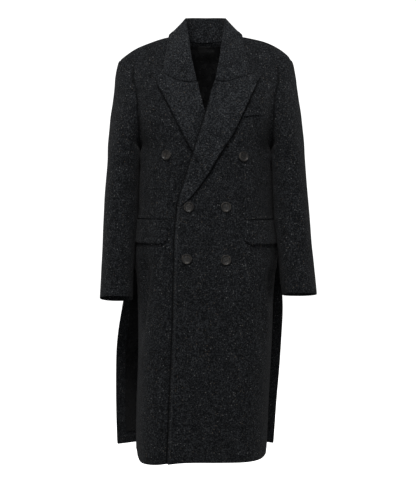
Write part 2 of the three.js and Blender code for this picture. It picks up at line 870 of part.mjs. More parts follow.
// The stand rises inside the collar from the neck seam to the fold.
function collarStand() {
  const face = (height) => (i, j) => {
    const share = ((i / COLLAR_STATIONS) * 2 - 1) * STAND_ENDS;
    const side = share < 0 ? RIGHT : LEFT;
    const { fold, seam } = collarLine(side, Math.abs(share));
    const neck = seam <= 1 ? BACK_NECK : FRONT_NECK;
    const base = topEdge(neck, side, (seam <= 1 ? seam : 2 - seam) * NECK_SHARE);
    if (seam > 1) {
      const u = side * Math.max(0.05, (2 - seam) * NECK_SHARE);
      base.addScaledVector(frontNormal(u, 0.01), sink(side, base));
    }
    base.z += 1.5;
    const p = base.lerp(fold.clone().add(point(0, 0, -1.5)), j / STAND_ROWS);
    const inward = point(-p.x, -25 - p.y, 0).normalize();
    return p.addScaledVector(inward, height);
  };
  wall("collar_stand", COLLAR_STATIONS, STAND_ROWS, face(STAND_WALL + AIR), face(AIR), cloth);
}

function backLining() {
  const rows = YOKE_ROWS + SIDE_ROWS + SKIRT_ROWS;
  const face = (height) => (i, j) => {
    const end = 2 - HEM_TURN / (HEM - UNDERARM);
    const level = Math.min(end, levelOf(j));
    const share = (i / LINING_COLUMNS) * 2 - 1;
    const side = share < 0 ? RIGHT : LEFT;
    const down = -back(side * 0.9, level).z;
    const margin = mix(SIDE_MARGIN, VENT_FACING, smooth(VENT_TOP - 20, VENT_TOP + 60, down));
    const inset = (rowGap(side, level, back) * margin) / SEAM;
    const u = share * (1 - inset);
    const p = back(u, level);
    if (j === 0) p.lerp(back(u, levelOf(1)), 0.3);
    const sewn = j === 0 ? (LOOSE - AIR) * (1 - smooth(0.08, 0.2, Math.abs(u))) : 0;
    return p.addScaledVector(backNormal(u, Math.max(level, 0.03)), sewn - height);
  };
  wall("back_lining", LINING_COLUMNS, rows, face(LOOSE + LINING_WALL), face(LOOSE), liningCloth);
}

const levelAt = (down) => 1 + (down - UNDERARM) / (HEM - UNDERARM);

// The across value a given way along a row of the front.
function uAlong(start, level, way) {
  const step = 0.002 * Math.sign(start);
  let u = start;
  let gone = 0;
  let last = front(u, level);
  while (gone < way) {
    u += step;
    const next = front(u, level);
    gone += next.distanceTo(last);
    last = next;
  }
  return u;
}

// How much a round corner takes off near the end of an edge.
function cornerCut(way, width, radius) {
  const near = radius - Math.min(way, width - way);
  if (near <= 0) return 0;
  return radius - Math.sqrt(radius * radius - near * near);
}

// A strip of trim that lies on the front and follows it round the side.
function trim(name, side, top, bottom, start, width, columns, rows, radius, deep) {
  const middle = levelAt((top + bottom) / 2);
  const [first] = onFront(side * start, -(top + bottom) / 2);
  const uses = [];
  for (let i = 0; i <= columns; i += 1) uses.push(uAlong(first, middle, (i / columns) * width));
  const face = (height) => (i, j) => {
    const cut = cornerCut((i / columns) * width, width, radius);
    const down = mix(top, bottom - cut, j / rows);
    const u = uses[i];
    const level = levelAt(down);
    const p = front(u, level);
    const lift = radius > 0 ? FLAP_LIFT * Math.pow(j / rows, 2) : 0;
    return p.clone().addScaledVector(frontNormal(u, level), height + sink(side, p) + lift);
  };
  const base = WALL + TRIM_AIR;
  wall(name, columns, rows, face(base), face(base + deep), cloth);
}

function pocket(word, side) {
  const top = FLAP_TOP[side];
  trim("flap_" + word, side, top, top + FLAP_HEIGHT, FLAP_START, FLAP_WIDTH, 14, 5, FLAP_CORNER, WALL);
  const low = top - JET_ABOVE;
  trim("jet_" + word, side, low - JET_HEIGHT, low, FLAP_START + 4, FLAP_WIDTH - 8, 12, 1, 0, JET_WALL);
}

// The breast welt shows from under the lapel's edge out to its own end.
function breastWelt() {
  const columns = 6;
  const face = (height) => (i, j) => {
    const down = WELT.down - WELT.height * (1 - j / 2);
    const lapelEdge = read(LAPEL_OUTER[LEFT], "down", "x", down);
    const x = mix(lapelEdge + 3, WELT.far, i / columns);
    return laid(LEFT, x, -down - WELT.tilt * (x - WELT.far), height);
  };
  wall("breast_welt", columns, 2, face(WALL + AIR), face(WALL + AIR + TRIM_WALL), cloth);
}

// A closed shape of three.js as a solid that can be cut.
function solidOf(geometry) {
  geometry.deleteAttribute("normal");
  geometry.deleteAttribute("uv");
  const merged = mergeVertices(geometry, 1e-4);
  const index = [...merged.index.array];
  const triVerts = [];
  for (let i = 0; i < index.length; i += 3) {
    const [a, b, c] = index.slice(i, i + 3);
    if (a !== b && b !== c && c !== a) triVerts.push(a, b, c);
  }
  const vertProperties = new Float32Array(merged.attributes.position.array);
  const mesh = new wasm.Mesh({ numProp: 3, vertProperties, triVerts: new Uint32Array(triVerts) });
  return new wasm.Manifold(mesh);
}

// A horn button: a dished round with a rim and four holes.
function buttonSolid() {
  const r = BUTTON_RADIUS;
  const profile = table(
    "out up",
    [0, 0],
    [r * 0.8, 0],
    [r, BUTTON_DEEP * 0.4],
    [r * 0.97, BUTTON_DEEP * 0.85],
    [r * 0.86, BUTTON_DEEP],
    [r * 0.72, BUTTON_DEEP * 0.72],
    [0, BUTTON_DEEP * 0.6],
  );
  const outline = profile.map((row) => new THREE.Vector2(row.out, row.up));
  let solid = solidOf(new THREE.LatheGeometry(outline, BUTTON_SIDES).rotateX(Math.PI / 2));
  for (const x of [-HOLE_PLACE, HOLE_PLACE]) {
    for (const y of [-HOLE_PLACE, HOLE_PLACE]) {
      const hole = new THREE.CylinderGeometry(HOLE_RADIUS, HOLE_RADIUS, BUTTON_DEEP * 3, 6);
      solid = solid.subtract(solidOf(hole.rotateX(Math.PI / 2).translate(x, y, 0)));
    }
  }
  return solid.getMesh();
}

function button(mesh, row) {
  const [u, level] = onFront(row.x, -row.down);
  const p = front(u, level);
  const n = frontNormal(u, level);
  const side = row.under ? RIGHT : LEFT;
  p.addScaledVector(n, WALL + sink(side, p) + row.lift);
  const turn = new THREE.Quaternion().setFromUnitVectors(point(0, 0, 1), n);
  const points = [];
  for (let i = 0; i < mesh.numVert; i += 1) {
    const v = point(...mesh.vertProperties.slice(i * mesh.numProp, i * mesh.numProp + 3));
    points.push(v.applyQuaternion(turn).add(p));
  }
  const faces = [];
  for (let i = 0; i < mesh.numTri; i += 1) faces.push([...mesh.triVerts.slice(i * 3, i * 3 + 3)]);
  addMesh(row.name, points, faces, horn);
}

frontPanel("front_left", LEFT);
frontPanel("front_right", RIGHT);
backPanel();
backLining();
sleevePiece("sleeve_left", LEFT);
sleevePiece("sleeve_right", RIGHT);
lapel("lapel_left", LEFT);
lapel("lapel_right", RIGHT);
collarFall();
collarStand();
pocket("left", LEFT);
pocket("right", RIGHT);
breastWelt();
const buttonMesh = buttonSolid();
BUTTONS.forEach((row) => button(buttonMesh, row));

export default coat;
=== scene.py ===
"""A double-breasted chesterfield overcoat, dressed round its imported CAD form."""

import json
import math

import bmesh
import bpy
import numpy as np
from mathutils import Matrix, Vector
from mathutils.bvhtree import BVHTree

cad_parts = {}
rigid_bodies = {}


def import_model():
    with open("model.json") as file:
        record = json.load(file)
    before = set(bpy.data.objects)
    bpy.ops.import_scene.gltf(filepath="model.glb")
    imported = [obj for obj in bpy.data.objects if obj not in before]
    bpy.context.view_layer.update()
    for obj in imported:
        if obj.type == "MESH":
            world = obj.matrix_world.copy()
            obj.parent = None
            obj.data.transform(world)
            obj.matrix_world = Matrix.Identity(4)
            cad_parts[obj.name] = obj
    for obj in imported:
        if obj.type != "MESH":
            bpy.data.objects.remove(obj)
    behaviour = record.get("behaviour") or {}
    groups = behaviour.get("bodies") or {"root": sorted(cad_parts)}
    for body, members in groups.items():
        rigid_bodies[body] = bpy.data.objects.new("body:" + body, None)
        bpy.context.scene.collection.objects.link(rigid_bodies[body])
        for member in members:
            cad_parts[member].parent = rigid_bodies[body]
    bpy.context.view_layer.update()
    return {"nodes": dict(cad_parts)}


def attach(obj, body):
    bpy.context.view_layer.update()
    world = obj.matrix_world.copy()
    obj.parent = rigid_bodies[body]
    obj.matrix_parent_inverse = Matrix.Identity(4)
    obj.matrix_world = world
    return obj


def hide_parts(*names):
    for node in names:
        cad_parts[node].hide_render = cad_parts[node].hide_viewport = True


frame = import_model()

MM = 0.001
TINY = 1e-9

# The photograph was taken level with the chest from 3.6 m. Its middle lies below the eye.
EYE = (0.00675, -3.6, -0.431)
FILM_HEIGHT = 24
LENS = 61.84
PHOTO_HEIGHT = 499
EYE_ROW = 190


def table(names, *rows):
    """Rows of numbers with named columns."""
    heads = names.split()
    return [dict(zip(heads, row)) for row in rows]


def smooth(low, high, value):
    """0 at low and 1 at high, with a soft start and end. Low may be the larger one."""
    share = np.clip((value - low) / (high - low), 0, 1)
    return share * share * (3 - 2 * share)


# Soft folds of the body: a line on the cloth from one end to the other, as the way round
# from the centre front (wearer's left is positive) and the height; half width and depth.
FRONT_FOLDS = table(
    "u0 z0 u1 z1 width depth",
    (-0.120, -0.115, -0.150, -0.330, 0.016, -0.0024),
    (-0.150, -0.100, -0.172, -0.300, 0.012, 0.0022),
    (0.128, -0.110, 0.150, -0.330, 0.015, -0.0022),
    (0.155, -0.100, 0.172, -0.290, 0.012, 0.0022),
    (-0.165, -0.360, -0.125, -0.480, 0.016, -0.0016),
    (0.165, -0.365, 0.125, -0.470, 0.016, -0.0016),
    (-0.110, -0.640, -0.170, -0.860, 0.026, -0.0040),
    (-0.175, -0.600, -0.205, -0.850, 0.024, 0.0030),
    (0.140, -0.640, 0.165, -0.900, 0.026, -0.0032),
    (0.195, -0.600, 0.200, -0.860, 0.022, 0.0026),
    (0.070, -0.760, 0.085, -1.080, 0.034, -0.0020),
    (-0.020, -0.840, -0.030, -1.120, 0.036, 0.0018),
    (0.020, -0.560, -0.060, -0.470, 0.020, -0.0016),
)
BACK_FOLDS = table(
    "u0 z0 u1 z1 width depth",
    (-0.140, -0.110, -0.160, -0.340, 0.016, -0.0030),
    (0.142, -0.105, 0.158, -0.335, 0.016, -0.0028),
    (-0.110, -0.330, -0.060, -0.470, 0.022, -0.0022),
    (0.115, -0.350, 0.050, -0.480, 0.022, -0.0024),
    (-0.060, -0.560, -0.090, -0.900, 0.030, -0.0034),
    (0.080, -0.580, 0.060, -0.880, 0.030, 0.0030),
    (0.000, -0.030, 0.000, -0.060, 0.050, -0.0016),
)

# Soft folds of the sleeves: the way round from the outside towards the front, as degrees.
SLEEVE_FOLDS = table(
    "a0 z0 a1 z1 width depth",
    (110, -0.330, 40, -0.400, 0.015, -0.0030),
    (150, -0.400, 70, -0.455, 0.014, -0.0036),
    (175, -0.450, 95, -0.500, 0.013, -0.0034),
    (130, -0.490, 60, -0.545, 0.015, -0.0026),
    (20, -0.180, 10, -0.330, 0.018, 0.0022),
    (65, -0.150, 62, -0.330, 0.016, -0.0020),
    (-60, -0.200, -70, -0.400, 0.018, -0.0026),
    (-140, -0.430, -80, -0.480, 0.015, -0.0034),
    (-160, -0.520, -90, -0.560, 0.015, -0.0026),
    (80, -0.600, 30, -0.680, 0.018, -0.0018),
)

# Lines seen from the front, in metres: the over panel's edge, and the outer edges of the
# lapels, 1 for the wearer's left one and -1 for the right one.
PANEL_EDGE = table(
    "z x",
    (-0.180, 0.012),
    (-0.225, 0.000),
    (-0.317, -0.029),
    (-0.396, -0.054),
    (-0.471, -0.076),
    (-0.554, -0.083),
    (-0.806, -0.088),
    (-1.000, -0.096),
    (-1.170, -0.103),
)
LAPEL_EDGE = {
    1: table(
        "z x",
        (-0.136, 0.141),
        (-0.165, 0.130),
        (-0.213, 0.107),
        (-0.281, 0.074),
        (-0.335, 0.038),
        (-0.390, 0.006),
        (-0.430, -0.023),
        (-0.458, -0.046),
    ),
    -1: table(
        "z x",
        (-0.126, -0.135),
        (-0.154, -0.126),
        (-0.203, -0.098),
        (-0.280, -0.060),
        (-0.336, -0.030),
        (-0.390, 0.000),
    ),
}

# How a piece rises or sinks beside such a line, so that the edge stands out: the line, the
# place beside it, half width, depth, and the heights between which it acts.
BESIDE = {
    "front_left": (
        (PANEL_EDGE, 0.004, 0.010, 0.0036, -0.455, -1.20),
        (LAPEL_EDGE[1], 0.007, 0.009, -0.0050, -0.130, -0.475),
    ),
    "front_right": (
        (PANEL_EDGE, -0.003, 0.014, -0.0045, -0.200, -1.20),
        (LAPEL_EDGE[-1], -0.006, 0.009, -0.0040, -0.120, -0.345),
    ),
    "lapel_right": ((PANEL_EDGE, -0.003, 0.014, -0.0045, -0.200, -1.20),),
}

# The hollows where the skirt falls in below the hips, uneven as in the photograph.
HIP_HOLLOW = table(
    "u0 z0 u1 z1 width depth",
    (-0.185, -0.600, -0.240, -0.860, 0.036, -0.0200),
    (0.215, -0.640, 0.240, -0.760, 0.030, -0.0100),
)

# How deep the cloth is drawn in at the armhole seams.
SEAM_SINK = 0.8 * MM

# Body and sleeve swell towards each other so that no light shows between them. The swell
# starts below the armhole, ends beside the flaps, and is stronger in a narrow band.
SWELL_TOP = -0.300, -0.320
SWELL_BOTTOM = -0.680, -0.600
SWELL = 4 * MM
SWELL_BAND = {"most": 5 * MM, "z": -0.336, "width": 0.020}

# The small unevenness of the cloth: how much, how drawn out, how large and its seed.
BODY_WOBBLE = {"most": 0.9 * MM, "squash": (1, 1, 0.45), "size": 0.11, "seed": 5}
SLEEVE_WOBBLE = {"most": 0.8 * MM, "squash": (1, 1, 0.6), "size": 0.08, "seed": 9}

# A sleeve's radius, for the way round it, and how much lower the folds of the right one lie.
SLEEVE_RADIUS = 0.05
RIGHT_SLEEVE_DROP = 0.012


def stroke(across, along, fold, names):
    """How strongly a fold acts at each place: 1 on its line, less away from it and at its ends."""
    a0, z0, a1, z1 = (fold[name] for name in names)
    step = np.array([a1 - a0, z1 - z0])
    length = float(step @ step)
    share = ((across - a0) * step[0] + (along - z0) * step[1]) / length
    near = np.clip(share, 0, 1)
    away = np.hypot(across - a0 - near * step[0], along - z0 - near * step[1])
    ends = smooth(-0.05, 0.3, share) * smooth(1.05, 0.7, share)
    return np.exp(-((away / fold["width"]) ** 2)) * ends


def girth(points, front):
    """The way round the body from its centre line, in metres."""
    x, y = points[:, 0], points[:, 1]
    turn = np.maximum(0, y + 0.13) if front else np.maximum(0, 0.11 - y)
    return x + np.sign(x) * turn * smooth(0.10, 0.16, np.abs(x))


def body_out(points):
    """Outward direction of a rounded box, level with the ground."""
    out = np.zeros_like(points)
    out[:, 0] = (points[:, 0] / 0.19) ** 3 / 0.19
    out[:, 1] = ((points[:, 1] + 0.01) / 0.15) ** 3 / 0.15
    return out / np.maximum(np.linalg.norm(out, axis=1), TINY)[:, None]


def wobble(points, size, seed):
    """Small smooth unevenness, from -1 to 1, about the given size across."""
    rng = np.random.default_rng(seed)
    total = np.zeros(len(points))
    for _ in range(6):
        way = rng.normal(size=3)
        way *= rng.uniform(0.7, 1.6) / (np.linalg.norm(way) * size)
        total += np.sin(points @ way * math.tau + rng.uniform(0, math.tau))
    return total / 3


def uneven(points, kind, more=0):
    """The small unevenness of body or sleeve, as a distance."""
    return kind["most"] * wobble(points * kind["squash"], kind["size"], kind["seed"] + more)


def beside(points, line, place, width, depth, top, bottom):
    """A rise or a trough that runs along a line seen from the front."""
    z = [row["z"] for row in reversed(line)]
    x = np.interp(points[:, 2], z, [row["x"] for row in reversed(line)])
    lean = (line[0]["x"] - line[-1]["x"]) / (line[0]["z"] - line[-1]["z"])
    away = (points[:, 0] - x) / math.hypot(1, lean) - place
    ends = smooth(top + 0.02, top - 0.05, points[:, 2])
    ends *= smooth(bottom, bottom + 0.03, points[:, 2])
    return depth * np.exp(-((away / width) ** 2)) * ends


def underarm(points):
    """How far body and sleeve swell towards each other below the armhole."""
    ends = smooth(*SWELL_TOP, points[:, 2]) * smooth(*SWELL_BOTTOM, points[:, 2])
    away = (points[:, 2] - SWELL_BAND["z"]) / SWELL_BAND["width"]
    most = SWELL + SWELL_BAND["most"] * np.exp(-(away ** 2))
    return most * ends


def fold_body(points, front, node, still):
    """Moves the points of the body by its soft folds, less where it is held still."""
    across = girth(points, front)
    amount = np.zeros(len(points))
    for fold in FRONT_FOLDS + HIP_HOLLOW if front else BACK_FOLDS:
        amount += fold["depth"] * stroke(across, points[:, 2], fold, ("u0", "z0", "u1", "z1"))
    amount += uneven(points, BODY_WOBBLE)
    for line in BESIDE.get(node, ()):
        amount += beside(points, *line)
    amount = amount * (1 - still) - SEAM_SINK * smooth(0.5, 1.0, still)
    points = points + body_out(points) * amount[:, None]
    side = smooth(0.160, 0.172, np.abs(points[:, 0]))
    points[:, 0] += np.sign(points[:, 0]) * side * underarm(points)
    return points


def sleeve_axis(points):
    """The middle of a sleeve at each of its heights."""
    height = points[:, 2]
    steps = np.linspace(height.min(), height.max(), 16)
    middle = []
    for low, high in zip(steps[:-1], steps[1:]):
        part = points[(height >= low - 0.01) & (height <= high + 0.01)]
        middle.append((part.min(0) + part.max(0)) / 2)
    middle = np.array(middle)
    order = (steps[:-1] + steps[1:]) / 2
    return lambda z: np.stack([np.interp(z, order, middle[:, i]) for i in (0, 1)], 1)


def sleeve_turn(points, axis, side):
    """Direction out from a sleeve's axis and the angle round it, 0 outside and 90 in front."""
    out = np.zeros_like(points)
    out[:, :2] = points[:, :2] - axis(points[:, 2])
    out /= np.maximum(np.linalg.norm(out, axis=1), TINY)[:, None]
    return out, np.degrees(np.arctan2(-out[:, 1], side * out[:, 0]))


def fold_sleeve(points, axis, side, still):
    """Moves the points of a sleeve by its soft folds, less where it is held still."""
    out, angle = sleeve_turn(points, axis, side)
    arc = math.radians(1) * SLEEVE_RADIUS
    shift = RIGHT_SLEEVE_DROP * (side - 1) / 2
    amount = np.zeros(len(points))
    for fold in SLEEVE_FOLDS:
        scaled = dict(fold, a0=fold["a0"] * arc, a1=fold["a1"] * arc)
        scaled.update(z0=fold["z0"] + shift, z1=fold["z1"] + shift)
        act = stroke(angle * arc, points[:, 2], scaled, ("a0", "z0", "a1", "z1"))
        amount += fold["depth"] * act
    amount += uneven(points, SLEEVE_WOBBLE, side)
    amount = amount * (1 - still) - SEAM_SINK * smooth(0.5, 1.0, still)
    points = points + out * amount[:, None]
    inner = smooth(0.205, 0.190, side * points[:, 0]) * smooth(-0.290, -0.312, points[:, 2])
    points[:, 0] -= side * inner * underarm(points)
    return points


# Shells made from the CAD solids
WELD = 2e-6
SHARP = math.radians(48)
FINER = 2


def new_object(name, mesh, material):
    """An object in the scene with one material."""
    obj = bpy.data.objects.new(name, mesh)
    bpy.context.scene.collection.objects.link(obj)
    obj.data.materials.append(material)
    return obj


def rounded(node, edge):
    """A finer copy of a CAD solid, with its edges turned softly."""
    bm = bmesh.new()
    bm.from_mesh(frame["nodes"][node].data)
    bmesh.ops.remove_doubles(bm, verts=bm.verts, dist=WELD)
    bmesh.ops.join_triangles(
        bm,
        faces=bm.faces,
        angle_face_threshold=math.radians(50),
        angle_shape_threshold=math.radians(80),
    )
    rim = [e for e in bm.edges if len(e.link_faces) == 2 and e.calc_face_angle(0) > SHARP]
    bmesh.ops.bevel(
        bm,
        geom=rim,
        offset=edge,
        offset_type="OFFSET",
        segments=1,
        profile=0.5,
        affect="EDGES",
        clamp_overlap=True,
    )
    bmesh.ops.recalc_face_normals(bm, faces=bm.faces)
    mesh = bpy.data.meshes.new(node + "_base")
    bm.to_mesh(mesh)
    bm.free()
    base = bpy.data.objects.new(node + "_base", mesh)
    bpy.context.scene.collection.objects.link(base)
    finer = base.modifiers.new("finer", "SUBSURF")
    finer.levels = finer.render_levels = FINER
    graph = bpy.context.evaluated_depsgraph_get()
    fine = bpy.data.meshes.new_from_object(base.evaluated_get(graph))
    fine.name = node + "_cloth"
    bpy.data.objects.remove(base)
    return fine


# The seams between body and sleeves: which solids each piece is sewn to.
SEWN = {
    "front_left": ("sleeve_left", "back"),
    "front_right": ("sleeve_right", "back"),
    "back": ("front_left", "front_right", "sleeve_left", "sleeve_right"),
    "sleeve_left": ("front_left", "back"),
    "sleeve_right": ("front_right", "back"),
}

# A rim this near its neighbour is drawn onto it and a little past it. Folds die out towards
# the armholes over the longer reach.
TOUCHING = 1e-7
SEAM_REACH = 0.006
SEAM_LAP = 0.0012
STILL_REACH = 0.030

# Below the first height a sleeve hangs free, and below the second the side vents are open.
ARMHOLE_BOTTOM = -0.335
SKIRT_TOP = -0.613


def surface(mesh):
    """A mesh that rays and the nearest places can be looked up in."""
    return BVHTree.FromPolygons([v.co for v in mesh.vertices], [f.vertices for f in mesh.polygons])


def nearest(points, node, reach):
    """The nearest places on a CAD solid and how far they are, up to a reach."""
    tree = surface(frame["nodes"][node].data)
    spots, gaps = points.copy(), np.full(len(points), reach)
    for i, place in enumerate(points):
        spot, _, _, gap = tree.find_nearest(Vector(place), reach)
        if spot is not None:
            spots[i], gaps[i] = spot, gap
    return spots, gaps


def sewn(points, node):
    """Draws the rims of a piece onto what they are sewn to; also how still each point is held."""
    still = np.zeros(len(points))
    moved = points.copy()
    for other in SEWN.get(node, ()):
        spots, gaps = nearest(points, other, STILL_REACH)
        armhole = "sleeve" in node + other
        bottom = ARMHOLE_BOTTOM if armhole else SKIRT_TOP
        share = smooth(SEAM_REACH, SEAM_REACH / 3, gaps) * (points[:, 2] > bottom)
        way = (spots - points) / np.maximum(gaps, TOUCHING)[:, None]
        moved += way * ((gaps + SEAM_LAP) * share)[:, None]
        if armhole:
            still = np.maximum(still, smooth(STILL_REACH, SEAM_REACH, gaps))
    return moved, still


def read_points(mesh):
    """A mesh's points as rows of x, y and z."""
    flat = np.zeros(len(mesh.vertices) * 3)
    mesh.vertices.foreach_get("co", flat)
    return flat.reshape(-1, 3)


def write_points(mesh, points):
    mesh.vertices.foreach_set("co", points.astype(np.float32).ravel())
    mesh.update()


def weave_map(mesh, across, period=0):
    """A map in metres: across is the way round, and the height is the way along."""
    height = read_points(mesh)[:, 2]
    corners = np.zeros(len(mesh.loops), np.int32)
    mesh.loops.foreach_get("vertex_index", corners)
    u = across[corners]
    if period:
        starts = np.zeros(len(mesh.polygons), np.int32)
        mesh.polygons.foreach_get("loop_start", starts)
        high = np.maximum.reduceat(u, starts)
        sizes = np.diff(np.append(starts, len(u)))
        high = np.repeat(high, sizes)
        u = np.where(high - u > period / 2, u + period, u)
    layer = mesh.uv_layers.new(name="weave")
    flat = np.stack([u, height[corners]], 1).astype(np.float32).ravel()
    layer.data.foreach_set("uv", flat)


def ride_cloth(obj, node):
    """Ties a shell to the body and to the CAD solid whose place it takes."""
    obj.data.polygons.foreach_set("use_smooth", np.ones(len(obj.data.polygons), bool))
    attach(obj, "root")
    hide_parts(node)
    return obj


# Materials
class Nodes:
    """A material's nodes, made a few at a time."""

    def __init__(self, name):
        self.material = bpy.data.materials.new(name)
        self.material.use_nodes = True
        self.tree = self.material.node_tree
        self.shader = self.tree.nodes["Principled BSDF"]

    def node(self, kind, **settings):
        made = self.tree.nodes.new("ShaderNode" + kind)
        for key, value in settings.items():
            setattr(made, key, value)
        return made

    def put(self, socket, value):
        if hasattr(value, "is_output"):
            self.tree.links.new(value, socket)
        else:
            socket.default_value = value

    def math(self, operation, a, b=0.0):
        """One step of arithmetic. MULTIPLY_ADD adds the node's own 0.5."""
        made = self.node("Math", operation=operation)
        self.put(made.inputs[0], a)
        self.put(made.inputs[1], b)
        return made.outputs[0]

    def vector(self, operation, a, b):
        made = self.node("VectorMath", operation=operation)
        self.put(made.inputs[0], a)
        self.put(made.inputs[1], b)
        return made.outputs[0]

    def noise(self, place, scale, detail=2.0, rough=0.5):
        made = self.node("TexNoise")
        self.put(made.inputs["Vector"], place)
        self.put(made.inputs["Scale"], scale)
        self.put(made.inputs["Detail"], detail)
        self.put(made.inputs["Roughness"], rough)
        return made

    def ramp(self, value, *stops):
        made = self.node("ValToRGB")
        elements = made.color_ramp.elements
        while len(elements) < len(stops):
            elements.new(0.5)
        for element, (place, colour) in zip(elements, stops):
            element.position = place
            element.color = (*colour, 1)
        self.put(made.inputs[0], value)
        return made.outputs["Color"]

    def spread(self, value, low, high):
        """0 at low, 1 at high, smoothly."""
        made = self.node("MapRange", interpolation_type="SMOOTHSTEP")
        self.put(made.inputs["Value"], value)
        self.put(made.inputs["From Min"], low)
        self.put(made.inputs["From Max"], high)
        return made.outputs["Result"]

    def blend(self, share, a, b):
        """Colour b over colour a."""
        made = self.node("Mix", data_type="RGBA")
        self.put(made.inputs[0], share)
        self.put(made.inputs[6], a)
        self.put(made.inputs[7], b)
        return made.outputs[2]

    def bump(self, height, distance, strength):
        made = self.node("Bump")
        self.put(made.inputs["Height"], height)
        self.put(made.inputs["Distance"], distance)
        self.put(made.inputs["Strength"], strength)
        self.put(self.shader.inputs["Normal"], made.outputs["Normal"])

    def finish(self, **values):
        for name, value in values.items():
            self.shader.inputs[name.replace("_", " ")].default_value = value
        return self.material


def flecks(n, place, cells, chosen, radius):
    """Spots in some cells of a Voronoi pattern: their mask and two random values of the cell."""
    spots = n.node("TexVoronoi", voronoi_dimensions="3D", feature="F1")
    n.put(spots.inputs["Vector"], place)
    n.put(spots.inputs["Scale"], 1 / cells)
    parts = n.node("SeparateColor")
    n.put(parts.inputs[0], spots.outputs["Color"])
    picked = n.math("GREATER_THAN", parts.outputs[0], 1 - chosen)
    disc = n.spread(spots.outputs["Distance"], radius, radius * 0.55)
    return n.math("MULTIPLY", picked, disc), parts.outputs[1], parts.outputs[2]


# Lines where the cloth is pressed or sewn, as seen from the front or the back. Along them, and
# along the panel and lapel edges, the cloth gets painted shade, and the over panel's edge ridge
# gets a painted highlight.
DART_RIGHT = table("z x", (-0.361, -0.091), (-0.400, -0.097), (-0.500, -0.104))
DART_LEFT = table("z x", (-0.437, 0.104), (-0.470, 0.102), (-0.505, 0.101))
BACK_SEAM = table("z x", (-0.030, 0.0), (-1.165, 0.0))
ARMHOLE_RIGHT = table(
    "z x", (-0.090, -0.222), (-0.126, -0.200), (-0.157, -0.190), (-0.235, -0.184), (-0.330, -0.182)
)
ARMHOLE_LEFT = table(
    "z x", (-0.089, 0.212), (-0.131, 0.202), (-0.165, 0.192), (-0.235, 0.186), (-0.330, 0.184)
)
# Painted shade for crevices, seam grooves and the cloth beside raised edges, and a painted
# highlight for the over panel's edge ridge.
PAINTED_SHADE = (0.0012, 0.0014, 0.0018, 1)
PAINTED_HIGHLIGHT = (0.09, 0.094, 0.1, 1)
PAINTED_LIGHT_LINES = table(
    "line beside width share tint front",
    (ARMHOLE_RIGHT, 0.0, 0.0036, 0.80, PAINTED_SHADE, True),
    (ARMHOLE_LEFT, 0.0, 0.0036, 0.80, PAINTED_SHADE, True),
    (PANEL_EDGE, -0.0016, 0.0026, 0.85, PAINTED_SHADE, True),
    (PANEL_EDGE, 0.0055, 0.0030, 0.16, PAINTED_HIGHLIGHT, True),
    (LAPEL_EDGE[1], 0.0020, 0.0036, 0.60, PAINTED_SHADE, True),
    (LAPEL_EDGE[-1], -0.0020, 0.0036, 0.60, PAINTED_SHADE, True),
    (DART_RIGHT, 0.0, 0.0014, 0.45, PAINTED_SHADE, True),
    (DART_LEFT, 0.0, 0.0014, 0.45, PAINTED_SHADE, True),
    (BACK_SEAM, 0.0, 0.0014, 0.60, PAINTED_SHADE, False),
)

# The height and the width that the curve of a painted shade or highlight line covers, in metres.
PAINTED_LINE_FRAME = 1.3, 0.4


def painted_light_band(n, place, row):
    """Where a painted shade or painted highlight lies, as a soft band along its line."""
    line, (tall, wide) = row["line"], PAINTED_LINE_FRAME
    parts = n.node("SeparateXYZ")
    n.put(parts.inputs[0], place)
    x, y, z = parts.outputs
    curve = n.node("FloatCurve")
    n.put(curve.inputs["Value"], n.math("ADD", n.math("DIVIDE", z, tall), 1.0))
    spots = curve.mapping.curves[0].points
    route = [(1 + at["z"] / tall, 0.5 + at["x"] / wide) for at in reversed(line)]
    spots[0].location, spots[1].location = (0.0, route[0][1]), (1.0, route[-1][1])
    for at in route:
        spots.new(*at)
    for spot in spots:
        spot.handle_type = "VECTOR"
    curve.mapping.update()
    edge = n.math("MULTIPLY", n.math("SUBTRACT", curve.outputs[0], 0.5), wide)
    away = n.math("SUBTRACT", n.math("SUBTRACT", x, edge), row["beside"])
    away = n.math("DIVIDE", away, row["width"])
    band = n.math("EXPONENT", n.math("MULTIPLY", n.math("MULTIPLY", away, away), -1.0))
    above = n.math("GREATER_THAN", z, line[-1]["z"])
    below = n.math("LESS_THAN", z, line[0]["z"])
    facing = n.math("LESS_THAN" if row["front"] else "GREATER_THAN", y, 0.0)
    band = n.math("MULTIPLY", band, facing)
    return n.math("MULTIPLY", band, n.math("MULTIPLY", above, below))


# Sizes in the tweed, in metres: how far yarns stray, the yarns' pitch, and the cells of its
# small and large flecks.
STRAY = 0.0016
YARN_PITCH = 0.0021
SMALL_FLECK = 0.0023
LARGE_FLECK = 0.0047


